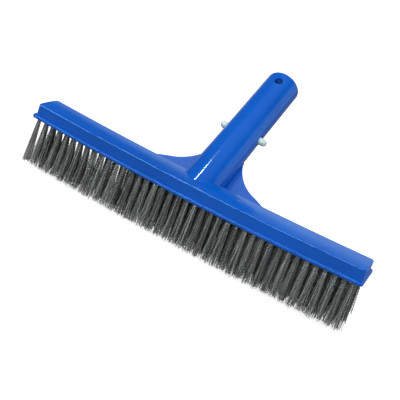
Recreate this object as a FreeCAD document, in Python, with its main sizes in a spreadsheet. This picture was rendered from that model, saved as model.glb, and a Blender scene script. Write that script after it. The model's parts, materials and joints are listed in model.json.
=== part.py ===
import FreeCAD, Part
import math
import os

import Sketcher
from FreeCAD import Placement, Rotation, Vector

# Pool wall brush: a bowed head with five staggered rows of wire tufts, a hollow handle tube that
# rises towards the rear, and a spring clip in the tube whose two buttons lock it into a pole.
# Millimetres. +X runs along the head, +Y towards the handle, +Z up, bristles point down.
# The origin is the middle of the head's underside.

SIZES = [
    ("head_length", 260.0, "flange, end to end"),
    ("head_width", 28.2, "flange, front to rear"),
    ("flange_thick", 2.3, "rim round the underside of the head"),
    ("flange_corner", 2.6, "corner radius of the flange"),
    ("flange_round", 0.6, "edge rounding of the flange"),
    ("bow_radius", 3150.0, "the head is bent to this radius, ends up"),
    ("block_height", 10.5, "front top edge above the underside"),
    ("rear_drop", 0.75, "the rear top edge is lower by this"),
    ("crown", 0.45, "rise of the top face between its edges"),
    ("front_inset", 2.5, "flange edge to top edge, front"),
    ("rear_inset", 2.9, "flange edge to top edge, rear"),
    ("end_inset", 1.5, "flange end to block end"),
    ("wall_spread", 0.5, "draft of the block's walls, top to foot"),
    ("block_corner", 2.4, "corner radius of the block"),
    ("block_round", 0.8, "edge rounding of the block's top"),
    ("handle_angle", 29.1, "tube axis above horizontal, degrees"),
    ("handle_y", 27.1, "where the tube axis meets the plane of the front top edge"),
    ("handle_reach", 106.5, "from there to the free end"),
    ("tube_start", 30.0, "how far the tube runs back into the block"),
    ("tube_root_radius", 14.2, "tube radius where it starts in the block"),
    ("spigot_radius", 13.7, "tube radius that a pole slides over"),
    ("spigot_length", 54.0, "straight stretch of that radius"),
    ("rim_round", 0.8, "rounding of the free end"),
    ("bore_radius", 11.2, "inside of the tube"),
    ("bore_floor", 7.4, "bottom of the bore, along the axis"),
    ("guide_gap", 4.6, "clip guide ribs in the bore, from the middle plane"),
    ("guide_thick", 2.0, "their thickness"),
    ("guide_end", 105.5, "their end, along the axis"),
    ("root_fillet", 1.4, "fillet between tube and block"),
    ("gusset_drop", 4.6, "upper face of the gussets below the tube axis"),
    ("gusset_top", 23.0, "where their plate ends inside the tube, along the axis"),
    ("gusset_reach", 83.0, "gusset outline, from the middle: where it leaves the flange"),
    ("gusset_ease_x", 71.0, "middle of the easy curve there"),
    ("gusset_ease_out", 1.15, "and how far behind the flange it is"),
    ("gusset_foot_x", 60.0, "start of the straight part"),
    ("gusset_foot_out", 4.7, "and how far behind the flange it is"),
    ("gusset_waist_x", 35.7, "end of the straight part"),
    ("gusset_waist_out", 14.2, "and how far behind the flange it is"),
    ("gusset_curve_x", 20.6, "middle of the tight curve"),
    ("gusset_curve_out", 23.4, "and how far behind the flange it is"),
    ("gusset_tip_x", 13.2, "where the curve runs into the tube"),
    ("gusset_tip_out", 35.0, "and how far behind the flange it is"),
    ("gusset_round", 0.5, "edge rounding of the gussets"),
    ("core_depth", 12.0, "relief under the foot of the tube"),
    ("core_width", 18.0, "its width"),
    ("core_front", 16.8, "its front wall"),
    ("core_rear", 25.0, "its rear wall"),
    ("slot_near", 44.1, "clip slot, centre of its near end, along the axis"),
    ("slot_far", 46.1, "clip slot, centre of its far end"),
    ("slot_radius", 3.2, "half width of the clip slot"),
    ("cross_station", 96.0, "hole through the tube near its free end"),
    ("cross_radius", 3.4, "its radius"),
    ("hinge_x", 2.2, "bend of the clip, from the middle"),
    ("hinge_station", 12.0, "bend of the clip, along the axis"),
    ("arm_tip_x", 9.3, "end of a clip arm, from the middle"),
    ("arm_tip_station", 49.0, "end of a clip arm, along the axis"),
    ("clip_thick", 1.8, "thickness of the clip"),
    ("clip_width", 8.0, "width of the clip"),
    ("bend_gap", 0.1, "clearance between the clip's bend and its arms"),
    ("button_station", 44.2, "button axis, along the tube axis"),
    ("button_neck", 3.0, "button radius inside the tube wall"),
    ("neck_end", 14.1, "where the neck ends, from the middle"),
    ("button_radius", 2.8, "button radius outside the tube"),
    ("button_tip", 19.5, "tip of the button, from the middle"),
    ("tuft_pitch", 6.41, "spacing of tufts along a row"),
    ("row_pitch", 5.0, "spacing of the rows"),
    ("row_splay", 3.4, "added tilt from one row to the next, degrees"),
    ("hole_radius", 1.6, "tuft hole"),
    ("hole_depth", 7.0, "its depth"),
    ("tuft_radius", 1.35, "tuft at its root, under the anchor"),
    ("tuft_tip_radius", 2.7, "tuft at its tip"),
    ("tuft_length", 33.0, "tuft below the head"),
    ("anchor_length", 4.0, "flat anchor, bites the wall at both ends"),
    ("anchor_thick", 0.5, "its thickness"),
    ("anchor_height", 1.8, "its height"),
    ("anchor_depth", 4.2, "its lower edge above the underside"),
    ("anchor_gap", 0.05, "clearance between anchor and tuft"),
]
ROWS = 5
COLUMNS = 40
SLACK = 0.2  # millimetres, when an edge is picked by where it is or how long it is
LEAST_CUT = 1.0  # cubic millimetres, what any cut has to take away
MIDDLE_ROW = (ROWS - 1) / 2
MIDDLE_COLUMN = (COLUMNS - 1) / 2

document = FreeCAD.newDocument("pool_wall_brush")


def make_sheet():
    """The driving dimensions, one cell each."""
    table = document.addObject("Spreadsheet::Sheet", "Sizes")
    for row, (alias, value, note) in enumerate(SIZES, start=1):
        table.set("A%d" % row, note)
        table.set("B%d" % row, str(value))
        table.setAlias("B%d" % row, alias)
    document.recompute()
    return table


sheet = make_sheet()


def size(alias):
    """A driving dimension as a number."""
    return float(sheet.get(alias))


# Expressions that several features share.
BOW_CENTRE = "Sizes.bow_radius"
SPIGOT_FOOT = "Sizes.handle_reach - Sizes.spigot_length"


def column_degrees(column):
    """Turn about the bow's centre from the middle of the head to a column, +X side positive."""
    return math.degrees((column - MIDDLE_COLUMN) * size("tuft_pitch") / size("bow_radius"))


# --- sketch helpers ---------------------------------------------------------


def new_body(label):
    body = document.addObject("PartDesign::Body", label)
    body.Label = label
    return body


def new_sketch(body, plane, name, offset=None):
    """A sketch on one of the body's own origin planes, moved in it by offset, an expression."""
    sketch = body.newObject("Sketcher::SketchObject", name)
    support = [f for f in body.Origin.OriginFeatures if f.Role == plane][0]
    sketch.AttachmentSupport = [(support, "")]
    sketch.MapMode = "FlatFace"
    if offset:
        sketch.setExpression("AttachmentOffset", offset)
    return sketch


def moved(across, up, axis="0; 0; 1", degrees="0"):
    """Expression for a placement: a shift in the sketch plane, then a turn about an axis there."""
    shift = "create(<<vector>>; %s; %s; 0)" % (across, up)
    turn = "create(<<rotation>>; create(<<vector>>; %s); %s)" % (axis, degrees)
    return "create(<<placement>>; %s; %s)" % (shift, turn)


# In a YZ sketch this puts the sketch's x along the tube axis, from the plane of the front top edge.
ALONG_TUBE = moved("Sizes.handle_y", "Sizes.block_height", degrees="Sizes.handle_angle")


def pin(sketch, edge, end, across, up):
    """Hold one point of the sketch at a place given by two expressions."""
    for kind, text in (("DistanceX", across), ("DistanceY", up)):
        value = float(sketch.evalExpression(text))
        rule = sketch.addConstraint(Sketcher.Constraint(kind, -1, 1, edge, end, value))
        sketch.setExpression("Constraints[%d]" % rule, text)


def arc_between(start, middle, finish):
    """The anticlockwise arc from start through middle to finish."""
    circle = Part.Circle(start, middle, finish)
    upright = Part.Circle(circle.Center, Vector(0, 0, 1), circle.Radius)
    first, last = [math.atan2(*reversed((spot - circle.Center)[:2])) for spot in (start, finish)]
    return Part.ArcOfCircle(upright, first, last)


def outline(sketch, corners):
    """Draw a closed outline. A corner is (x, y), and the middle of its arc follows where an arc leaves it."""
    spots = [[float(sketch.evalExpression(text)) for text in corner] for corner in corners]
    ends = []
    for index, spot in enumerate(spots):
        start = Vector(spot[0], spot[1])
        after = spots[(index + 1) % len(spots)]
        finish = Vector(after[0], after[1])
        if len(spot) == 2:
            edge = sketch.addGeometry(Part.LineSegment(start, finish))
            ends.append((edge, 1, 2))
            continue
        middle = Vector(spot[2], spot[3])
        if (middle - start).cross(finish - middle).z > 0:
            edge = sketch.addGeometry(arc_between(start, middle, finish))
            ends.append((edge, 1, 2))
        else:
            edge = sketch.addGeometry(arc_between(finish, middle, start))
            ends.append((edge, 2, 1))
        dot = sketch.addGeometry(Part.Point(middle), True)
        pin(sketch, dot, 1, corners[index][2], corners[index][3])
        sketch.addConstraint(Sketcher.Constraint("PointOnObject", dot, 1, edge))
    for index, corner in enumerate(corners):
        edge, first, last = ends[index]
        before, _, joined = ends[index - 1]
        sketch.addConstraint(Sketcher.Constraint("Coincident", before, joined, edge, first))
        pin(sketch, edge, first, corner[0], corner[1])


def axis_line(sketch, start, finish):
    """A construction line to turn a profile about. start and finish are pairs of expressions."""
    spots = [Vector(*[float(sketch.evalExpression(text)) for text in pair]) for pair in (start, finish)]
    line = sketch.addGeometry(Part.LineSegment(*spots), True)
    pin(sketch, line, 1, *start)
    pin(sketch, line, 2, *finish)


def bow_axis(sketch):
    """The line through the bow's centre, parallel to Y, in a YZ sketch."""
    axis_line(sketch, ("-1", BOW_CENTRE), ("1", BOW_CENTRE))


def turned(body, kind, name, sketch, degrees):
    """A Revolution or Groove about the sketch's own construction line, half to each side of the sketch."""
    feature = body.newObject("PartDesign::" + kind, name)
    feature.Profile = sketch
    feature.ReferenceAxis = (sketch, ["Axis0"])
    feature.Midplane = True
    feature.setExpression("Angle", degrees)
    document.recompute()
    return feature


def arc_degrees(length):
    """Expression for the angle that a length along the head takes up at the bow's centre."""
    return "(%s) / Sizes.bow_radius * 180 / pi" % length


def cut_through(body, name, sketch):
    """A Pocket through everything on both sides of its sketch. It has to remove something."""
    before = body.Shape.Volume
    pocket = body.newObject("PartDesign::Pocket", name)
    pocket.Profile = sketch
    pocket.Type = "ThroughAll"
    pocket.Midplane = True
    document.recompute()
    must_shrink(body, before, name)
    return pocket


def must_shrink(body, before, name):
    if body.Shape.Volume > before - LEAST_CUT:
        raise RuntimeError(name + " cut nothing")


def rounded(body, name, radius, wanted):
    """A Fillet on every edge of the body's tip for which wanted(edge box, length) is true."""
    base = body.Tip
    chosen = []
    for number, edge in enumerate(base.Shape.Edges, start=1):
        if wanted(edge.BoundBox, edge.Length):
            chosen.append("Edge%d" % number)
    fillet = body.newObject("PartDesign::Fillet", name)
    fillet.Base = (base, chosen)
    fillet.setExpression("Radius", radius)
    document.recompute()
    return fillet


# --- the one-piece back: head, flange, gussets and handle tube ----------------


def head_block(body):
    """Flange and block, both turned about the bow's centre, with rounded corners and edges."""
    flange = new_sketch(body, "YZ_Plane", "flange_section")
    bow_axis(flange)
    outline(flange, [
        ("-Sizes.head_width / 2", "0"),
        ("Sizes.head_width / 2", "0"),
        ("Sizes.head_width / 2", "Sizes.flange_thick"),
        ("-Sizes.head_width / 2", "Sizes.flange_thick"),
    ])
    turned(body, "Revolution", "flange", flange, arc_degrees("Sizes.head_length"))
    long_edge = size("head_length") / 2
    thick = size("flange_thick")
    rounded(body, "flange_corners", "Sizes.flange_corner", lambda box, length: length < thick + SLACK)
    rounded(body, "flange_edges", "Sizes.flange_round",
            lambda box, length: box.ZLength < thick / 2 or length > long_edge)

    front = "-(Sizes.head_width / 2 - Sizes.front_inset)"
    rear = "Sizes.head_width / 2 - Sizes.rear_inset"
    low = "Sizes.flange_thick / 2"
    block = new_sketch(body, "YZ_Plane", "block_section")
    bow_axis(block)
    outline(block, [
        (front + " - Sizes.wall_spread", low),
        (front, "Sizes.block_height",
         "(Sizes.front_inset - Sizes.rear_inset) / 2",
         "Sizes.block_height - Sizes.rear_drop / 2 + Sizes.crown"),
        (rear, "Sizes.block_height - Sizes.rear_drop"),
        (rear + " + Sizes.wall_spread", low),
    ])
    turned(body, "Revolution", "block", block, arc_degrees("Sizes.head_length - 2 * Sizes.end_inset"))
    end = size("head_length") / 2 - size("end_inset") - size("block_corner")
    tall = size("block_height") / 2
    rounded(body, "block_corners", "Sizes.block_corner",
            lambda box, length: box.ZLength > tall and abs(box.Center.x) > end)
    top = size("block_height") - size("rear_drop") - SLACK
    rounded(body, "block_edges", "Sizes.block_round", lambda box, length: box.ZMin > top)


def gussets(body):
    """A plate that carries the flange on rearwards and bends up along the tube, with concave sides."""
    bend_top = ("Sizes.handle_y + (Sizes.gusset_drop / cos(Sizes.handle_angle)"
                " - Sizes.block_height + Sizes.flange_thick) / tan(Sizes.handle_angle)")
    bend_low = ("Sizes.handle_y + ((Sizes.gusset_drop + Sizes.flange_thick) / cos(Sizes.handle_angle)"
                " - Sizes.block_height) / tan(Sizes.handle_angle)")

    def on_tube(station, drop):
        """Expressions for y and z of a point at a station along the tube, a drop below its axis."""
        y = "Sizes.handle_y + (%s) * cos(Sizes.handle_angle) + (%s) * sin(Sizes.handle_angle)"
        z = "Sizes.block_height + (%s) * sin(Sizes.handle_angle) - (%s) * cos(Sizes.handle_angle)"
        return y % (station, drop), z % (station, drop)

    inside = "Sizes.head_width / 2 - Sizes.rear_inset"
    plate = new_sketch(body, "YZ_Plane", "gusset_section")
    bow_axis(plate)
    outline(plate, [
        (inside, "0"),
        (bend_low, "0"),
        on_tube("Sizes.gusset_top", "Sizes.gusset_drop + Sizes.flange_thick"),
        on_tube("Sizes.gusset_top", "Sizes.gusset_drop"),
        (bend_top, "Sizes.flange_thick"),
        (inside, "Sizes.flange_thick"),
    ])
    turned(body, "Revolution", "gusset_plate", plate, arc_degrees("2 * Sizes.gusset_reach"))

    # Concave sides: the plate leaves the flange in a long sweep, runs straight and turns up the tube.
    edge = "Sizes.head_width / 2"
    far = "Sizes.handle_reach"
    for side, sign in (("right", ""), ("left", "-")):
        trim = new_sketch(body, "XY_Plane", "gusset_trim_" + side)
        outline(trim, [
            (sign + "Sizes.gusset_reach", edge,
             sign + "Sizes.gusset_ease_x", edge + " + Sizes.gusset_ease_out"),
            (sign + "Sizes.gusset_foot_x", edge + " + Sizes.gusset_foot_out"),
            (sign + "Sizes.gusset_waist_x", edge + " + Sizes.gusset_waist_out",
             sign + "Sizes.gusset_curve_x", edge + " + Sizes.gusset_curve_out"),
            (sign + "Sizes.gusset_tip_x", edge + " + Sizes.gusset_tip_out"),
            (sign + "Sizes.gusset_tip_x", far),
            (sign + "(Sizes.gusset_reach + Sizes.flange_thick)", far),
            (sign + "(Sizes.gusset_reach + Sizes.flange_thick)", edge),
        ])
        cut_through(body, "gusset_side_" + side, trim)
    behind_flange = size("head_width") / 2 - SLACK
    beside_tube = size("gusset_tip_x")
    rounded(body, "gusset_edges", "Sizes.gusset_round",
            lambda box, length: box.YMin > behind_flange and box.XLength > size("flange_thick")
            and abs(box.Center.x) > beside_tube)


def handle_tube(body):
    """The round tube, cut level with the underside of the head and bored from its free end."""
    tube = new_sketch(body, "YZ_Plane", "tube_section", ALONG_TUBE)
    axis_line(tube, ("0", "0"), ("Sizes.handle_reach", "0"))
    outline(tube, [
        ("-Sizes.tube_start", "0"),
        ("Sizes.handle_reach", "0"),
        ("Sizes.handle_reach", "Sizes.spigot_radius - Sizes.rim_round",
         "Sizes.handle_reach - Sizes.rim_round * (1 - cos(45))",
         "Sizes.spigot_radius - Sizes.rim_round * (1 - sin(45))"),
        ("Sizes.handle_reach - Sizes.rim_round", "Sizes.spigot_radius"),
        (SPIGOT_FOOT, "Sizes.spigot_radius"),
        ("-Sizes.tube_start", "Sizes.tube_root_radius"),
    ])
    turned(body, "Revolution", "tube", tube, "360")

    before = body.Shape.Volume
    under = new_sketch(body, "YZ_Plane", "underside_section")
    bow_axis(under)
    outline(under, [
        ("-Sizes.head_width", "0"),
        ("-Sizes.head_width", "-Sizes.tube_start"),
        ("Sizes.handle_reach", "-Sizes.tube_start"),
        ("Sizes.handle_reach", "0"),
    ])
    turned(body, "Groove", "underside", under, arc_degrees("4 * Sizes.tube_root_radius"))
    must_shrink(body, before, "underside")
    # The edge where the tube leaves the block's top face curves round in front of the middle.
    radius = size("tube_root_radius")
    top = size("block_height") - size("rear_drop") - SLACK
    rounded(body, "tube_root", "Sizes.root_fillet",
            lambda box, length: box.ZMin > top and box.YMin < 0 < box.YMax
            and box.XMax < radius + SLACK and box.XMin > -radius - SLACK)

    before = body.Shape.Volume
    bore = new_sketch(body, "YZ_Plane", "bore_section", ALONG_TUBE)
    axis_line(bore, ("0", "0"), ("Sizes.handle_reach", "0"))
    past = "Sizes.handle_reach + Sizes.rim_round"
    outline(bore, [
        ("Sizes.bore_floor", "0"),
        (past, "0"),
        (past, "Sizes.bore_radius + 2 * Sizes.rim_round"),
        ("Sizes.handle_reach - Sizes.rim_round", "Sizes.bore_radius"),
        ("Sizes.bore_floor", "Sizes.bore_radius"),
    ])
    turned(body, "Groove", "bore", bore, "360")
    must_shrink(body, before, "bore")


def clip_guides(body):
    """Two ribs across the bore, above and below the clip, that keep it flat."""
    ribs = new_sketch(body, "YZ_Plane", "guide_section", ALONG_TUBE)
    start = "Sizes.bore_floor - Sizes.guide_thick"
    for sign in ("", "-"):
        near = sign + "Sizes.guide_gap"
        far = sign + "(Sizes.guide_gap + Sizes.guide_thick)"
        outline(ribs, [(start, near), ("Sizes.guide_end", near), ("Sizes.guide_end", far), (start, far)])
    pad = body.newObject("PartDesign::Pad", "clip_guides")
    pad.Profile = ribs
    pad.Midplane = True
    pad.setExpression("Length", "2 * Sizes.bore_radius")
    document.recompute()


def handle_openings(body):
    """Slots for the two clip buttons, the hole near the free end, and the relief under the tube's foot."""
    slot = new_sketch(body, "YZ_Plane", "slot_outline", ALONG_TUBE)
    outline(slot, [
        ("Sizes.slot_near", "-Sizes.slot_radius"),
        ("Sizes.slot_far", "-Sizes.slot_radius", "Sizes.slot_far + Sizes.slot_radius", "0"),
        ("Sizes.slot_far", "Sizes.slot_radius"),
        ("Sizes.slot_near", "Sizes.slot_radius", "Sizes.slot_near - Sizes.slot_radius", "0"),
    ])
    cut_through(body, "button_slots", slot)

    before = body.Shape.Volume
    cross = new_sketch(body, "YZ_Plane", "cross_section", ALONG_TUBE)
    reach = "2 * Sizes.spigot_radius"
    axis_line(cross, ("Sizes.cross_station", "-1"), ("Sizes.cross_station", "1"))
    outline(cross, [
        ("Sizes.cross_station", "-" + reach),
        ("Sizes.cross_station + Sizes.cross_radius", "-" + reach),
        ("Sizes.cross_station + Sizes.cross_radius", reach),
        ("Sizes.cross_station", reach),
    ])
    turned(body, "Groove", "cross_hole", cross, "360")
    must_shrink(body, before, "cross_hole")

    before = body.Shape.Volume
    core = new_sketch(body, "XY_Plane", "core_outline")
    outline(core, [
        ("-Sizes.core_width / 2", "Sizes.core_front"),
        ("Sizes.core_width / 2", "Sizes.core_front"),
        ("Sizes.core_width / 2", "Sizes.core_rear"),
        ("-Sizes.core_width / 2", "Sizes.core_rear"),
    ])
    relief = body.newObject("PartDesign::Pocket", "core_relief")
    relief.Profile = core
    relief.Reversed = True
    relief.setExpression("Length", "Sizes.core_depth")
    document.recompute()
    must_shrink(body, before, "core_relief")


def tuft_holes(body):
    """One drilled hole per row at the first column, then repeated along the bow."""
    for rows, columns in ((range(0, ROWS, 2), COLUMNS), (range(1, ROWS, 2), COLUMNS - 1)):
        first_hole = -(columns - 1) / 2
        drilled = []
        for row in rows:
            # A hole's own frame: turned back to the first column, moved to the row, tilted with it.
            at_column = moved("0", BOW_CENTRE, "1; 0; 0", arc_degrees("%g * Sizes.tuft_pitch" % first_hole))
            from_centre = moved("0", "-" + BOW_CENTRE)
            in_row = moved("%g * Sizes.row_pitch" % (row - MIDDLE_ROW), "0",
                           degrees="%g * Sizes.row_splay" % (row - MIDDLE_ROW))
            place = "%s * %s * %s" % (at_column, from_centre, in_row)
            name = "tuft_hole_row_%d" % (row + 1)
            before = body.Shape.Volume
            drill = new_sketch(body, "YZ_Plane", name + "_section", place)
            axis_line(drill, ("0", "0"), ("0", "Sizes.hole_depth"))
            outline(drill, [
                ("0", "-Sizes.hole_radius"),
                ("Sizes.hole_radius", "-Sizes.hole_radius"),
                ("Sizes.hole_radius", "Sizes.hole_depth"),
                ("0", "Sizes.hole_depth + Sizes.hole_radius / 2"),
            ])
            drilled.append(turned(body, "Groove", name, drill, "360"))
            must_shrink(body, before, name)
        before = body.Shape.Volume
        pattern = body.newObject("PartDesign::PolarPattern", "holes_of_%d" % columns)
        pattern.Originals = drilled
        pattern.Axis = (document.getObject("flange_section"), ["Axis0"])
        pattern.Occurrences = columns
        pattern.setExpression("Angle", arc_degrees("%d * Sizes.tuft_pitch" % (columns - 1)))
        body.Tip = pattern
        document.recompute()
        must_shrink(body, before, pattern.Name)


def brush_back():
    body = new_body("brush_back")
    head_block(body)
    gussets(body)
    handle_tube(body)
    clip_guides(body)
    handle_openings(body)
    tuft_holes(body)
    return body


# --- the spring clip ----------------------------------------------------------


def put_in_tube(body):
    """Clip pieces are drawn with x across the tube and y along its axis, then laid along the tube."""
    shift = "create(<<vector>>; 0; Sizes.handle_y; Sizes.block_height)"
    turn = "create(<<rotation>>; create(<<vector>>; 1; 0; 0); Sizes.handle_angle)"
    body.setExpression("Placement", "create(<<placement>>; %s; %s)" % (shift, turn))


def clip_pad(body, sketch):
    pad = body.newObject("PartDesign::Pad", body.Label + "_strip")
    pad.Profile = sketch
    pad.Midplane = True
    pad.setExpression("Length", "Sizes.clip_width")
    document.recompute()


def clip_bend():
    """The U at the inner end of the clip. Its ends stop just short of the two arms."""
    body = new_body("clip_bend")
    strip = new_sketch(body, "XY_Plane", "clip_bend_outline")
    inner = "Sizes.hinge_x - Sizes.clip_thick / 2"
    outer = "Sizes.hinge_x + Sizes.clip_thick / 2"
    level = "Sizes.hinge_station - Sizes.clip_thick / 2 - Sizes.bend_gap"
    outline(strip, [
        ("-(%s)" % outer, level, "0", "%s - (%s)" % (level, outer)),
        (outer, level),
        (inner, level, "0", "%s - (%s)" % (level, inner)),
        ("-(%s)" % inner, level),
    ])
    clip_pad(body, strip)
    put_in_tube(body)
    return body


def clip_arm(side, sign):
    """A straight springy arm with round ends, and the button that stands out through the tube wall."""
    body = new_body("clip_arm_" + side)
    across = "(Sizes.arm_tip_x - Sizes.hinge_x)"
    along = "(Sizes.arm_tip_station - Sizes.hinge_station)"
    span = "sqrt(%s^2 + %s^2)" % (across, along)
    half = "Sizes.clip_thick / 2"
    # Steps of half a thickness across the arm (a) and along it (b), as x and y.
    step_x, step_y = "%s * %s / %s" % (half, along, span), "%s * %s / %s" % (half, across, span)

    def near(dx, dy):
        return sign + "(Sizes.hinge_x%s)" % dx, "Sizes.hinge_station%s" % dy

    def far(dx, dy):
        return sign + "(Sizes.arm_tip_x%s)" % dx, "Sizes.arm_tip_station%s" % dy

    strip = new_sketch(body, "XY_Plane", body.Label + "_outline")
    outline(strip, [
        near(" - " + step_x, " + " + step_y) + near(" - " + step_y, " - " + step_x),
        near(" + " + step_x, " - " + step_y),
        far(" + " + step_x, " - " + step_y) + far(" + " + step_y, " + " + step_x),
        far(" - " + step_x, " + " + step_y),
    ])
    clip_pad(body, strip)

    button = new_sketch(body, "XY_Plane", body.Label + "_button_section")
    level = "Sizes.button_station"
    dome = "(Sizes.button_tip - Sizes.button_radius)"
    root = "(Sizes.hinge_x + %s * (Sizes.button_station - Sizes.hinge_station) / %s)" % (across, along)
    axis_line(button, ("0", level), (sign + "Sizes.button_tip", level))
    outline(button, [
        (sign + root, level),
        (sign + root, level + " + Sizes.button_neck"),
        (sign + "Sizes.neck_end", level + " + Sizes.button_neck"),
        (sign + "Sizes.neck_end", level + " + Sizes.button_radius"),
        (sign + dome, level + " + Sizes.button_radius",
         sign + "(%s + Sizes.button_radius * sin(45))" % dome, level + " + Sizes.button_radius * cos(45)"),
        (sign + "Sizes.button_tip", level),
    ])
    turned(body, "Revolution", body.Label + "_button", button, "360")
    put_in_tube(body)
    return body


# --- tufts and their anchors ---------------------------------------------------


def tuft_pattern():
    """One tuft as a plain closed solid that widens to its tip. Its axis is Z, the head's underside z 0."""
    body = new_body("tuft_pattern")
    shape = new_sketch(body, "YZ_Plane", "tuft_section")
    root = "Sizes.anchor_depth - Sizes.anchor_gap"
    axis_line(shape, ("0", "0"), ("0", root))
    outline(shape, [
        ("0", "-Sizes.tuft_length"),
        ("Sizes.tuft_tip_radius", "-Sizes.tuft_length"),
        ("Sizes.tuft_radius", root),
        ("0", root),
    ])
    turned(body, "Revolution", "bundle", shape, "360")
    return body


def anchor_pattern():
    """One flat anchor, lying along X across its hole."""
    body = new_body("anchor_pattern")
    face = new_sketch(body, "YZ_Plane", "anchor_section")
    half = "Sizes.anchor_thick / 2"
    high = "Sizes.anchor_depth + Sizes.anchor_height"
    outline(face, [
        ("-" + half, "Sizes.anchor_depth"),
        (half, "Sizes.anchor_depth"),
        (half, high),
        ("-" + half, high),
    ])
    pad = body.newObject("PartDesign::Pad", "anchor_plate")
    pad.Profile = face
    pad.Midplane = True
    pad.setExpression("Length", "Sizes.anchor_length")
    document.recompute()
    return body


def in_row(row):
    """Where a tuft of this row stands at the middle of the head: moved across it and tilted."""
    away = row - MIDDLE_ROW
    tilt = Rotation(Vector(1, 0, 0), away * size("row_splay"))
    return Placement(Vector(0, away * size("row_pitch"), 0), tilt)


def along_bow(degrees):
    """A turn about the bow's centre. Positive moves a piece towards +X."""
    return Placement(Vector(), Rotation(Vector(0, 1, 0), -degrees), Vector(0, 0, size("bow_radius")))


def shifted_row(row):
    """Every second row stands half a pitch along."""
    return row % 2 == 1


def group(label, pattern, places):
    """A node of identical separate solids."""
    node = document.addObject("Part::Feature", label)
    node.Label = label
    node.Shape = Part.makeCompound([pattern.Shape.transformed(place.toMatrix(), True) for place in places])
    return node


def tuft_columns(pattern):
    """One node for each column: the tufts of the odd rows, and of the even rows half a pitch along."""
    half_pitch = column_degrees(MIDDLE_COLUMN + 0.5)
    nodes = []
    for column in range(COLUMNS):
        rows = [row for row in range(ROWS) if column < COLUMNS - 1 or not shifted_row(row)]
        places = [along_bow(half_pitch if shifted_row(row) else 0) * in_row(row) for row in rows]
        node = group("tuft_column_%02d" % (column + 1), pattern, places)
        node.Placement = along_bow(column_degrees(column))
        nodes.append(node)
    return nodes


def anchor_rows(pattern):
    """One node for each row of anchors."""
    nodes = []
    for row in range(ROWS):
        offset = 0.5 if shifted_row(row) else 0.0
        columns = [column + offset for column in range(COLUMNS - int(shifted_row(row)))]
        places = [along_bow(column_degrees(column)) * in_row(row) for column in columns]
        nodes.append(group("anchors_row_%d" % (row + 1), pattern, places))
    return nodes


# --- build, check and write -----------------------------------------------------


def check(nodes):
    """Stop unless every object computed and every sub-part is a valid, closed shape."""
    for thing in document.Objects:
        if "Invalid" in thing.State or "Error" in thing.State:
            raise RuntimeError("%s did not compute: %s" % (thing.Label, thing.State))
    for node in nodes:
        if node.Shape.isNull() or not node.Shape.isValid() or not node.Shape.Solids:
            raise RuntimeError(node.Label + " has no valid solid")


def main():
    nodes = [brush_back(), clip_bend(), clip_arm("right", ""), clip_arm("left", "-")]
    nodes += tuft_columns(tuft_pattern())
    nodes += anchor_rows(anchor_pattern())
    document.recompute()
    check(nodes)
    os.makedirs("parts", exist_ok=True)
    for node in nodes:
        node.Shape.exportStep("parts/%s.step" % node.Label)
        print("%-18s %3d solids %10.1f mm3" % (node.Label, len(node.Shape.Solids), node.Shape.Volume))


main()
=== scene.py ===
import json
import math

import bmesh
import bpy
import numpy as np
from mathutils import Matrix, Vector


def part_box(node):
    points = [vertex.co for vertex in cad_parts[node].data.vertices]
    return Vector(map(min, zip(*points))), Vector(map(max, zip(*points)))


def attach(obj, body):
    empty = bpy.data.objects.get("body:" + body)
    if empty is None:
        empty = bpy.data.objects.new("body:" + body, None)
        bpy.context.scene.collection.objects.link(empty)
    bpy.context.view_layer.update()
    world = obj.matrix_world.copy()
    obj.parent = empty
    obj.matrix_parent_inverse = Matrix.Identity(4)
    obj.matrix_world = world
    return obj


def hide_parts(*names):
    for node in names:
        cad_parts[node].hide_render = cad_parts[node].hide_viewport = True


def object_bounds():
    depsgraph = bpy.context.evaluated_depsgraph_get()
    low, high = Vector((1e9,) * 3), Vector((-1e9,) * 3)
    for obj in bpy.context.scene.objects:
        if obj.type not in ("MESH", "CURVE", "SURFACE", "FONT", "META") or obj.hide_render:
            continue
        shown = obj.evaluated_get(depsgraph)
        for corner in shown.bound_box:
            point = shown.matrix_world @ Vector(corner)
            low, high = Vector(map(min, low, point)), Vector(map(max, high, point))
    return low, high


# Pool wall brush: the moulded back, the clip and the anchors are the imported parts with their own
# materials. Each column of wire tufts is built here as crimped wires folded over the anchors.
# Metres, +X along the head, +Y towards the handle, +Z up, origin in the middle of the underside.

MM = 0.001
SEED = 4021

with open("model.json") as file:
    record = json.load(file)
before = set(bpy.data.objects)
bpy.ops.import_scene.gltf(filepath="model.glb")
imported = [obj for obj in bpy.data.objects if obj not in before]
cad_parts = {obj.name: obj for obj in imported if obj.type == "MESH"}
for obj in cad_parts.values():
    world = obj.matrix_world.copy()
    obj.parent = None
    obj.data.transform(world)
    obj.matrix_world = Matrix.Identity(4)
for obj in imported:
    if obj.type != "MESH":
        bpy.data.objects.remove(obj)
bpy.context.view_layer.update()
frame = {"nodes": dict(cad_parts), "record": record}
nodes = frame["nodes"]
HEAD_REAR = -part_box("brush_back")[0].y


# --- node material helpers --------------------------------------------------------


EDGE_SAMPLES = 6
EDGE_TURNED = 0.75            # cosine between the true and the rounded normal on an edge
EDGE_FLAT = 0.99              # and where a face counts as flat


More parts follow.
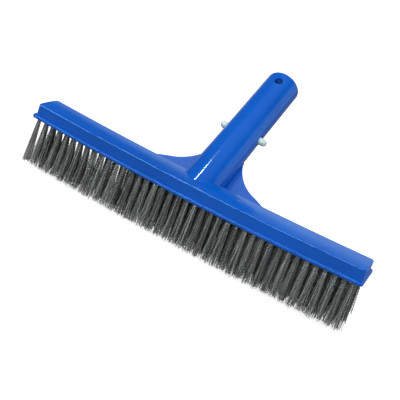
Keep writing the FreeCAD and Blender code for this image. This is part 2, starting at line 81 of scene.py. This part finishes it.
class Nodes:
    """Short ways to add and join the nodes of a tree."""

    def __init__(self, tree, place):
        self.tree = tree
        self.place = self.add("ShaderNodeTexCoord").outputs[place]

    def add(self, kind, **settings):
        node = self.tree.nodes.new(kind)
        for name, value in settings.items():
            if name in node.inputs:
                node.inputs[name].default_value = value
            else:
                setattr(node, name, value)
        return node

    def join(self, source, target):
        self.tree.links.new(source, target)

    def noise(self, scale, detail=3.0, stretch=(1, 1, 1), roughness=0.5):
        """Noise between 0 and 1. Scale is in features per metre, and a stretch below 1 draws an axis out."""
        mapping = self.add("ShaderNodeMapping")
        mapping.inputs["Scale"].default_value = stretch
        self.join(self.place, mapping.inputs["Vector"])
        noise = self.add("ShaderNodeTexNoise", Scale=scale, Detail=detail, Roughness=roughness)
        self.join(mapping.outputs["Vector"], noise.inputs["Vector"])
        return noise.outputs["Fac"]

    def spread(self, source, low, high, from_low=0.3, from_high=0.7):
        """The source, spread from its usual range to low..high."""
        node = self.add("ShaderNodeMapRange")
        node.inputs["From Min"].default_value = from_low
        node.inputs["From Max"].default_value = from_high
        node.inputs["To Min"].default_value = low
        node.inputs["To Max"].default_value = high
        self.join(source, node.inputs["Value"])
        return node.outputs["Result"]

    def maths(self, operation, first, second):
        node = self.add("ShaderNodeMath", operation=operation)
        for socket, value in zip(node.inputs, (first, second)):
            if isinstance(value, (int, float)):
                socket.default_value = value
            else:
                self.join(value, socket)
        return node.outputs["Value"]

    def blend(self, factor, first, second):
        """A colour mixed from two, each a colour or a socket."""
        node = self.add("ShaderNodeMix", data_type="RGBA")
        self.join(factor, node.inputs["Factor"])
        for socket, value in ((node.inputs[6], first), (node.inputs[7], second)):
            if isinstance(value, tuple):
                socket.default_value = value + (1.0,)
            else:
                self.join(value, socket)
        return node.outputs[2]

    def bump(self, height, distance, strength=1.0, under=None):
        node = self.add("ShaderNodeBump", Distance=distance, Strength=strength)
        self.join(height, node.inputs["Height"])
        if under:
            self.join(under, node.inputs["Normal"])
        return node.outputs["Normal"]

    def vector(self, operation, first, second):
        """The node of a vector calculation between a socket and a socket or three numbers."""
        node = self.add("ShaderNodeVectorMath", operation=operation)
        self.join(first, node.inputs[0])
        if isinstance(second, (tuple, Vector)):
            node.inputs[1].default_value = second
        else:
            self.join(second, node.inputs[1])
        return node

    def edges(self, radius):
        """1 on convex and concave edges and 0 on flat faces, from how far a rounded normal departs."""
        rounded = self.add("ShaderNodeBevel", Radius=radius)
        rounded.samples = EDGE_SAMPLES
        flat = self.add("ShaderNodeNewGeometry")
        dot = self.vector("DOT_PRODUCT", rounded.outputs["Normal"], flat.outputs["Normal"])
        return self.spread(dot.outputs["Value"], 1.0, 0.0, EDGE_TURNED, EDGE_FLAT)


class Finish(Nodes):
    """The nodes of a new material."""

    def __init__(self, name):
        self.material = bpy.data.materials.new(name)
        self.material.use_nodes = True
        super().__init__(self.material.node_tree, "Object")
        self.shader = self.tree.nodes["Principled BSDF"]

    def set(self, **values):
        """Fixed values of the shader's inputs, with underscores for the spaces in their names."""
        for name, value in values.items():
            self.shader.inputs[name.replace("_", " ")].default_value = value

    def feed(self, name, source):
        """Drive one of the shader's inputs."""
        self.join(source, self.shader.inputs[name])


# --- materials ----------------------------------------------------------------------


BLUE = (0.002, 0.124, 0.640)
BLUE_DEEP = (0.001, 0.100, 0.540)
# Painted highlight: a paler blue mixed onto every edge, standing in for light caught by the rounded edges.
BLUE_EDGE_HIGHLIGHT = (0.020, 0.260, 0.800)
EDGE_HIGHLIGHT_WIDTH = 0.5 * MM         # of the painted highlight along the edges
EDGE_HIGHLIGHT_MIX = 0.6
GUSSET_DULLER = 0.36          # added roughness, assumed, so that they don't mirror the key light
GUSSET_FADE = 1.0 * MM        # over which it comes in
WIRE_DARK = (0.125, 0.115, 0.108)
WIRE_LIGHT = (0.89, 0.80, 0.735)
SMEARS = 0.25                 # share of the wires' light and dark that is not from wire to wire


def mount(name):
    """Position, axis and sizes of one of the frame's mounts."""
    found = [entry for entry in frame["record"]["mounts"] if entry["name"] == name][0]
    return Vector(found["pos_m"]), Vector(found["axis"]), found["dims"]


def on_gussets(m):
    """1 behind the head and beside the tube, where the surface is made duller, else 0."""
    middle, axis, spigot = mount("pole_spigot")
    from_tube = m.vector("SUBTRACT", m.place, middle)
    off_axis = m.vector("CROSS_PRODUCT", from_tube.outputs["Vector"], axis)
    away = m.vector("LENGTH", off_axis.outputs["Vector"], (0, 0, 0)).outputs["Value"]
    beside = spigot["r_mm"] * MM + GUSSET_FADE
    parts = m.add("ShaderNodeSeparateXYZ")
    m.join(m.place, parts.inputs["Vector"])
    behind = m.spread(parts.outputs["Y"], 0.0, 1.0, HEAD_REAR - GUSSET_FADE, HEAD_REAR)
    return m.maths("MULTIPLY", behind, m.spread(away, 0.0, 1.0, beside, beside + GUSSET_FADE))


def blue_polypropylene():
    """Glossy moulded plastic: soft clouding of the pigment, faint flow along the head, fine orange
    peel, a painted highlight in paler blue along every edge, and duller gussets."""
    m = Finish("blue_polypropylene")
    clouds = m.noise(22.0, 4.0)
    flow = m.noise(160.0, 2.0, stretch=(0.06, 1, 1))
    tint = m.blend(m.spread(clouds, 0.0, 1.0), BLUE_DEEP, BLUE)
    # Painted highlight: the edges are mixed towards a paler blue, as if they caught the light.
    tint = m.blend(m.maths("MULTIPLY", m.edges(EDGE_HIGHLIGHT_WIDTH), EDGE_HIGHLIGHT_MIX), tint, BLUE_EDGE_HIGHLIGHT)
    m.feed("Base Color", tint)
    scuffs = m.noise(900.0, 2.0, stretch=(0.2, 1, 1))
    gloss = m.maths("ADD", m.spread(clouds, 0.06, 0.09), m.spread(scuffs, 0.0, 0.03))
    m.feed("Roughness", m.maths("ADD", gloss, m.maths("MULTIPLY", on_gussets(m), GUSSET_DULLER)))
    peel = m.bump(m.noise(700.0, 1.0), 0.004 * MM)
    m.feed("Normal", m.bump(flow, 0.012 * MM, under=peel))
    m.set(IOR=1.49, Subsurface_Weight=0.08, Subsurface_Radius=(0.1, 0.3, 1.0), Subsurface_Scale=1.5 * MM)
    return m.material


def white_acetal():
    """Milky, slightly see-through natural plastic of the clip."""
    m = Finish("white_acetal")
    clouds = m.noise(260.0, 3.0)
    m.feed("Base Color", m.blend(m.spread(clouds, 0.0, 1.0), (0.66, 0.77, 0.73), (0.80, 0.88, 0.85)))
    m.feed("Roughness", m.spread(m.noise(900.0, 2.0), 0.22, 0.34))
    m.feed("Normal", m.bump(clouds, 0.02 * MM))
    m.set(Subsurface_Weight=0.6, Subsurface_Radius=(1.0, 1.0, 1.0), Subsurface_Scale=1.0 * MM)
    return m.material


def stainless_wire():
    """Drawn wire: each wire a little darker or lighter than the next, with fine drawing marks."""
    m = Finish("stainless_wire")
    own = m.add("ShaderNodeAttribute", attribute_name="wire_shade").outputs["Fac"]
    smears = m.noise(500.0, 2.0)
    shade = m.maths("ADD", m.maths("MULTIPLY", own, 1 - SMEARS), m.maths("MULTIPLY", smears, SMEARS))
    m.feed("Base Color", m.blend(m.spread(shade, 0.0, 1.0, 0.2, 0.8), WIRE_DARK, WIRE_LIGHT))
    m.feed("Roughness", m.spread(m.noise(2500.0, 2.0), 0.30, 0.45))
    m.set(Metallic=1.0)
    return m.material


def anchor_steel():
    """Flat galvanised strip, with rolling marks along it."""
    m = Finish("anchor_steel")
    marks = m.noise(3000.0, 2.0, stretch=(0.1, 1, 1))
    m.feed("Base Color", m.blend(m.spread(marks, 0.0, 1.0), (0.45, 0.45, 0.44), (0.62, 0.62, 0.60)))
    m.feed("Roughness", m.spread(marks, 0.28, 0.42))
    m.feed("Normal", m.bump(marks, 0.01 * MM))
    m.set(Metallic=1.0)
    return m.material


def paint(node, material):
    node.data.materials.clear()
    node.data.materials.append(material)


# --- wire tufts -----------------------------------------------------------------------


WIRES = 20                    # folded wires in a tuft, each giving two legs
WIRE_RADIUS = 0.17 * MM       # of the circle round the wire's three-sided section
SIDES = 3
RINGS_A_WAVE = 4              # rings of the mesh in one wavelength of the crimp
CRIMP = 2.1 * MM              # wavelength
CRIMP_HIGH = 0.20 * MM        # amplitude
PHASE_LEAN = 0.9              # radians the crimp runs ahead for each millimetre across the tuft
PHASE_LEAN_JITTER = 0.35
PHASE_DEPTH = 0.4             # the same, front to rear, as a share of it
PHASE_JITTER = 0.20           # radians, from wire to wire
CRIMP_TURN = 0.3              # radians, how the plane of the crimp differs from tuft to tuft
CRIMP_TURN_JITTER = 0.20      # and from wire to wire
ROOT_PACK = 1.38 * MM         # wire centres stay this near the tuft's axis in the hole
FOLD_RISE = 2.05 * MM         # how far above the tuft's upper end the wires pass over the anchor
FOLD_SHOULDER = 0.3 * MM      # the wires turn over the anchor within this height
FOLD_HALF = 0.45 * MM         # half the gap between the two legs at the anchor
FOLD_LAYERS = 3               # the wires lie in layers over the anchor
FOLD_LAYER_STEP = 0.25 * MM
FOLD_SQUEEZE = 0.9            # and a little closer together than in the hole
MIDDLE_GAP = 0.7              # of FOLD_HALF, kept clear of legs on each side in the hole
HIDDEN_RINGS = 3              # rings of a leg inside its hole
TIP_FLARE = 1.18              # spread of the wire tips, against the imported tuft's own radius
FLARE_SHAPE = 0.9             # power of the length, below 1 the tuft opens early
TUFT_FLARE_JITTER = 0.08
WIRE_FLARE_JITTER = 0.05
WANDER = 0.40 * MM            # of a wire's tip
WANDER_SHAPE = 1.6            # power of the length
LONGER = 0.8 * MM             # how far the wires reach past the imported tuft
LENGTH_JITTER = 0.8 * MM
WILD_SHARE = 0.012            # of the wires, bent well out of the tuft
WILD_FLARE = (0.3, 0.9)
SHADE_JITTER = 0.30
END_DEPTH = 0.3 * MM          # points this near the last one are on a packed tuft's flat end
SAME_SPOT = 0.001 * MM        # points nearer than this are one
STEEP = 0.8                   # share of a wire's direction along Y where it crosses its anchor


def tapered_ends(spots):
    """(root, tip, tip radius) of one tapered solid from its points: the middles of its two flat ends."""
    middle = spots.mean(0)
    axis = np.linalg.svd(spots - middle, full_matrices=False)[2][0]
    axis *= np.sign(axis[2])
    level = (spots - middle) @ axis
    high = spots[level > level.max() - END_DEPTH]
    low = spots[level < level.min() + END_DEPTH]
    root = (high.min(0) + high.max(0)) / 2
    tip = (low.min(0) + low.max(0)) / 2
    return root, tip, np.linalg.norm(low - tip, axis=1).max()


def tufts_of(node):
    """(root, tip, tip radius) of each tapered solid of a packed tuft column."""
    mesh = bmesh.new()
    mesh.from_mesh(node.data)
    bmesh.ops.remove_doubles(mesh, verts=mesh.verts, dist=SAME_SPOT)
    waiting = set(mesh.verts)
    found = []
    while waiting:
        island, edge = set(), [waiting.pop()]
        while edge:
            vert = edge.pop()
            island.add(vert)
            for link in vert.link_edges:
                other = link.other_vert(vert)
                if other in waiting:
                    waiting.discard(other)
                    edge.append(other)
        found.append(tapered_ends(np.array([v.co for v in island])))
    mesh.free()
    return sorted(found, key=lambda tuft: tuft[0][1])


def root_spots(random):
    """Where the wires of one half of a tuft stand in its hole: evenly over a half disc."""
    order = np.arange(WIRES) + 0.5
    reach = ROOT_PACK * np.sqrt(order / WIRES)
    angle = (order * math.pi * (math.sqrt(5) - 1) + random.uniform(0, math.pi)) % math.pi
    return reach * np.cos(angle), np.maximum(reach * np.sin(angle), FOLD_HALF * MIDDLE_GAP)


def folds(spot_x):
    """The three points of each wire that take it up, over the anchor and down."""
    layer = (np.arange(WIRES) % FOLD_LAYERS) * FOLD_LAYER_STEP
    fold = np.zeros((WIRES, 3, 3))
    fold[:, :, 0] = (spot_x * FOLD_SQUEEZE)[:, None]
    fold[:, 0, 1] = FOLD_HALF
    fold[:, 2, 1] = -FOLD_HALF
    fold[:, :, 2] = FOLD_SHOULDER - FOLD_RISE
    fold[:, 1, 2] = -(FOLD_RISE + layer)
    return fold


def tuft_legs(random, root, tip, tip_radius):
    """Centre lines of one tuft's wires, as an array of wires, rings and xyz, and how dark each wire is."""
    length = np.linalg.norm(tip - root)
    down = (tip - root) / length
    along = np.array((1.0, 0.0, 0.0)) - down[0] * down
    along /= np.linalg.norm(along)
    across = np.cross(down, along)
    spot_x, spot_y = root_spots(random)

    bare = max(root[2], 0.0)                      # the stretch inside the hole
    step = CRIMP / RINGS_A_WAVE
    hidden = np.linspace(0.0, bare, HIDDEN_RINGS, endpoint=False)
    shown = bare + step * np.arange(int((length - bare) / step) + 1)
    depth = np.concatenate((hidden, shown))
    share = np.clip((depth - bare) / (length - bare), 0, 1)
    rise = np.clip((depth - bare) / CRIMP, 0, 1) * CRIMP_HIGH

    phase_lean = random.normal(PHASE_LEAN, PHASE_LEAN_JITTER)
    phase_start = random.uniform(0, 2 * math.pi)
    crimp_turn = random.normal(0.0, CRIMP_TURN)
    legs = []
    for side in (1, -1):
        x, y = spot_x, side * spot_y
        flare = TIP_FLARE * random.normal(1.0, TUFT_FLARE_JITTER) * tip_radius / ROOT_PACK
        wild = random.random(WIRES) < WILD_SHARE
        own = random.normal(0.0, WIRE_FLARE_JITTER, WIRES) + wild * random.uniform(*WILD_FLARE, WIRES)
        flare_each = flare * (1 + own)
        spread = 1 + (flare_each[:, None] - 1) * share ** FLARE_SHAPE
        wander = random.normal(0.0, WANDER, (WIRES, 2, 1)) * share ** WANDER_SHAPE
        lean = phase_lean * (x + PHASE_DEPTH * y) / MM
        phase = phase_start + lean + random.normal(0.0, PHASE_JITTER, WIRES)
        swing = np.sin(phase[:, None] + 2 * math.pi * (depth - bare) / CRIMP) * rise
        turn = crimp_turn + random.normal(0.0, CRIMP_TURN_JITTER, WIRES)
        stretch = 1 + random.normal(LONGER, LENGTH_JITTER, WIRES) / length
        px = x[:, None] * spread + wander[:, 0] + swing * np.cos(turn)[:, None]
        py = y[:, None] * spread + wander[:, 1] + swing * np.sin(turn)[:, None]
        pz = np.where(depth > bare, bare + (depth - bare) * stretch[:, None], depth)
        legs.append(np.stack((px, py, pz), axis=2))

    lines = np.concatenate((legs[0][:, ::-1], folds(spot_x), legs[1]), axis=1)
    shade = np.clip(random.normal(0.5, SHADE_JITTER, WIRES), 0, 1)
    return root + lines @ np.stack((along, across, down)), shade


def wire_tubes(lines):
    """Vertices and faces of three-sided tubes round centre lines, all with the same number of rings."""
    count, rings = lines.shape[:2]
    tangent = np.gradient(lines, axis=1)
    tangent /= np.linalg.norm(tangent, axis=2, keepdims=True)
    side = np.cross(tangent, np.array((0.0, 1.0, 0.0)))
    # Where a wire runs across its anchor the X axis is a steadier guide.
    side_flat = np.array((1.0, 0.0, 0.0)) - tangent * tangent[:, :, :1]
    side = np.where(np.abs(tangent[:, :, 1:2]) > STEEP, side_flat, side)
    side /= np.linalg.norm(side, axis=2, keepdims=True)
    # Keep the side vector from flipping between one ring and the next.
    for ring in range(1, rings):
        flip = np.sign(np.sum(side[:, ring] * side[:, ring - 1], axis=1, keepdims=True))
        side[:, ring] *= np.where(flip == 0, 1, flip)
    other = np.cross(tangent, side)
    turns = (np.arange(SIDES) * 2 * math.pi / SIDES)[None, None, :, None]
    ring_spots = np.cos(turns) * side[:, :, None] + np.sin(turns) * other[:, :, None]
    spots = lines[:, :, None] + ring_spots * WIRE_RADIUS
    index = np.arange(count * rings * SIDES).reshape(count, rings, SIDES)
    after = np.roll(index, -1, axis=2)
    walls = np.stack((index[:, :-1], after[:, :-1], after[:, 1:], index[:, 1:]), axis=-1).reshape(-1, 4)
    caps = np.concatenate((index[:, 0, ::-1], index[:, -1]), axis=0)
    return spots.reshape(-1, 3), walls, caps


def wire_mesh(name, lines, shade):
    """A smooth mesh of all the wires, with an attribute that says how dark each is."""
    spots, walls, caps = wire_tubes(lines)
    mesh = bpy.data.meshes.new(name)
    mesh.vertices.add(len(spots))
    mesh.vertices.foreach_set("co", spots.astype(np.float32).ravel())
    mesh.loops.add(walls.size + caps.size)
    mesh.loops.foreach_set("vertex_index", np.concatenate((walls.ravel(), caps.ravel())).astype(np.int32))
    mesh.polygons.add(len(walls) + len(caps))
    starts = np.concatenate((np.arange(len(walls)) * 4, walls.size + np.arange(len(caps)) * SIDES))
    mesh.polygons.foreach_set("loop_start", starts.astype(np.int32))
    mesh.polygons.foreach_set("use_smooth", np.arange(len(starts)) < len(walls))
    attribute = mesh.attributes.new("wire_shade", "FLOAT", "POINT")
    attribute.data.foreach_set("value", np.repeat(shade, lines.shape[1] * SIDES).astype(np.float32))
    mesh.update(calc_edges=True)
    mesh.validate()
    return mesh


def middle_rings(lines, rings):
    """The same number of rings off each end, so that every tuft of a column has as many."""
    spare = (lines.shape[1] - rings) // 2
    return lines[:, spare:spare + rings]


def wire_column(number, node, material):
    """The crimped wires that stand for one packed column of tufts."""
    random = np.random.default_rng(SEED + number)
    lines, shades = [], []
    for root, tip, tip_radius in tufts_of(node):
        centre_lines, shade = tuft_legs(random, root, tip, tip_radius)
        lines.append(centre_lines)
        shades.append(shade)
    rings = min(part.shape[1] for part in lines)
    same = np.concatenate([middle_rings(part, rings) for part in lines])
    name = "wires_column_%02d" % number
    piece = bpy.data.objects.new(name, wire_mesh(name, same, np.concatenate(shades)))
    bpy.context.scene.collection.objects.link(piece)
    paint(piece, material)
    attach(piece, "brush")
    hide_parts(node.name)


# --- the room --------------------------------------------------------------------------


WALL_SIDE = 42.0              # degrees from straight behind towards +X, where the bright wall stands
WALL_HIGH = 0.68              # its height over its distance
WALL_EDGE = (-0.14, 0.05)     # how softly it starts
WALL_LEVEL = 0.80             # strengths of what reflections show
ROOM_LEVEL = 0.09
CEILING_LEVEL = 0.50
CEILING_EDGE = (0.78, 0.96)   # as the upward part of a direction
FILL_LEVEL = 0.88             # of the even light on everything
WHITE = (1.0, 1.0, 1.0)
COOL = (0.66, 0.90, 1.0)      # tint of what the room shows in reflections
COOL_STRIP = (0.40, 0.80, 1.0)
FLOOR_SEEN = (0.62, 0.62, 0.62)
FLOOR_GLOW = 0.76             # to the camera only
FLOOR_LIT = (0.24, 0.25, 0.25)
FLOOR_HALF = 12.0


def studio():
    """White to the camera and even soft fill. Reflections show a dim room, a bright low wall behind
    and to the right, and a soft light overhead."""
    world = bpy.data.worlds.new("studio")
    bpy.context.scene.world = world
    world.use_nodes = True
    world.node_tree.nodes.clear()
    w = Nodes(world.node_tree, "Generated")
    parts = w.add("ShaderNodeSeparateXYZ")
    w.join(w.place, parts.inputs["Vector"])
    side = math.radians(WALL_SIDE)
    wall_slope = (WALL_HIGH * math.sin(side), WALL_HIGH * math.cos(side), -1.0)
    under_wall = w.vector("DOT_PRODUCT", w.place, wall_slope)
    wall = w.spread(under_wall.outputs["Value"], 0.0, WALL_LEVEL - ROOM_LEVEL, *WALL_EDGE)
    ceiling = w.spread(parts.outputs["Z"], 0.0, CEILING_LEVEL - ROOM_LEVEL, *CEILING_EDGE)
    level = w.maths("ADD", w.maths("ADD", wall, ceiling), ROOM_LEVEL)

    path = w.add("ShaderNodeLightPath")
    mirrored = w.add("ShaderNodeBackground")
    w.join(level, mirrored.inputs["Strength"])
    fill = w.add("ShaderNodeBackground", Strength=FILL_LEVEL)
    white = w.add("ShaderNodeBackground", Strength=1.0)
    for node, tint in ((mirrored, COOL), (fill, WHITE), (white, WHITE)):
        node.inputs["Color"].default_value = tint + (1.0,)
    by_mirror = w.add("ShaderNodeMixShader")
    w.join(path.outputs["Is Glossy Ray"], by_mirror.inputs["Fac"])
    w.join(fill.outputs["Background"], by_mirror.inputs[1])
    w.join(mirrored.outputs["Background"], by_mirror.inputs[2])
    by_camera = w.add("ShaderNodeMixShader")
    w.join(path.outputs["Is Camera Ray"], by_camera.inputs["Fac"])
    w.join(by_mirror.outputs["Shader"], by_camera.inputs[1])
    w.join(white.outputs["Background"], by_camera.inputs[2])
    output = w.add("ShaderNodeOutputWorld")
    w.join(by_camera.outputs["Shader"], output.inputs["Surface"])


def floor(level):
    """A wide pale floor under the tuft tips. The camera sees it as near white with a faint shadow.
    What it throws back onto the brush is dimmer."""
    m = Finish("pale_floor")
    seen = m.add("ShaderNodeLightPath").outputs["Is Camera Ray"]
    m.feed("Base Color", m.blend(seen, FLOOR_LIT, FLOOR_SEEN))
    m.feed("Emission Strength", m.maths("MULTIPLY", seen, FLOOR_GLOW))
    m.set(Roughness=0.9, Specular_IOR_Level=0.0, Emission_Color=(1, 1, 1, 1))
    mesh = bpy.data.meshes.new("floor")
    corners = [(x * FLOOR_HALF, y * FLOOR_HALF, level) for x, y in ((-1, -1), (1, -1), (1, 1), (-1, 1))]
    mesh.from_pydata(corners, [], [(0, 1, 2, 3)])
    mesh.materials.append(m.material)
    plane = bpy.data.objects.new("floor", mesh)
    bpy.context.scene.collection.objects.link(plane)


def softbox(name, place, target, sides, power, tint=WHITE, only_mirrored=False):
    """A rectangular light. One that is only mirrored shows in reflections and lights nothing else."""
    light = bpy.data.lights.new(name, "AREA")
    light.shape = "RECTANGLE"
    light.size, light.size_y = sides
    light.energy = power
    light.color = tint
    lamp = bpy.data.objects.new(name, light)
    lamp.location = place
    lamp.rotation_mode = "QUATERNION"
    lamp.rotation_quaternion = (Vector(place) - Vector(target)).to_track_quat("Z", "Y")
    bpy.context.scene.collection.objects.link(lamp)
    lamp.visible_diffuse = not only_mirrored


def lights():
    """The key makes the streak at the tube's foot, the strips the lines along the edges and the
    bright side of the tufts, and the fill lights the front of the head."""
    tube_foot = (0, 0.016, 0.02)
    head = (0, 0, 0)
    tufts = (0, 0, -0.02)
    softbox("key", (-0.262, 0.118, 0.765), tube_foot, (0.05, 0.04), 0.55, COOL)
    softbox("overhead_strip", (-0.28, -0.62, 0.62), head, (1.2, 0.3), 17.0, COOL_STRIP, only_mirrored=True)
    softbox("side_strip", (-0.95, -0.72, 0.35), tufts, (0.4, 0.5), 8.0, only_mirrored=True)
    softbox("front_fill", (-0.25, -0.95, 0.75), head, (1.2, 0.5), 2.0)


# --- the camera ---------------------------------------------------------------------------


CAMERA_AZIMUTH = 20.264       # degrees, towards +X from straight in front
CAMERA_ELEVATION = 24.071
CAMERA_ROLL = 18.777
CAMERA_DISTANCE = 498.43 * MM
FOCAL_RATIO = 1.8245          # focal length over the picture's width
SENSOR = 36.0
SHIFT_X = 0.02265
SHIFT_Y = -0.01727


def camera():
    azimuth, elevation, roll = (math.radians(x) for x in (CAMERA_AZIMUTH, CAMERA_ELEVATION, CAMERA_ROLL))
    back = Vector((math.sin(azimuth) * math.cos(elevation),
                   -math.cos(azimuth) * math.cos(elevation),
                   math.sin(elevation)))
    right = (-back).cross(Vector((0, 0, 1))).normalized()
    up = back.cross(right)
    turned_right = math.cos(roll) * right + math.sin(roll) * up
    turned_up = -math.sin(roll) * right + math.cos(roll) * up
    data = bpy.data.cameras.new("camera")
    data.sensor_width = SENSOR
    data.lens = FOCAL_RATIO * SENSOR
    data.shift_x = SHIFT_X
    data.shift_y = SHIFT_Y
    data.clip_start = 0.01
    holder = bpy.data.objects.new("camera", data)
    axes = Matrix((turned_right, turned_up, back)).transposed()
    holder.matrix_world = Matrix.Translation(back * CAMERA_DISTANCE) @ axes.to_4x4()
    bpy.context.scene.collection.objects.link(holder)
    bpy.context.scene.camera = holder


# --- put together -------------------------------------------------------------------------


def dress_cad_nodes():
    blue, white, steel = blue_polypropylene(), white_acetal(), anchor_steel()
    paint(nodes["brush_back"], blue)
    for name in ("clip_bend", "clip_arm_right", "clip_arm_left"):
        paint(nodes[name], white)
    for name, node in nodes.items():
        if name.startswith("anchors_row"):
            paint(node, steel)


def all_wires():
    steel = stainless_wire()
    columns = sorted(name for name in nodes if name.startswith("tuft_column"))
    for number, name in enumerate(columns, start=1):
        wire_column(number, nodes[name], steel)


dress_cad_nodes()
all_wires()
visual_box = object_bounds()
studio()
floor(visual_box[0].z)
lights()
camera()
bpy.context.scene.view_settings.view_transform = "Standard"
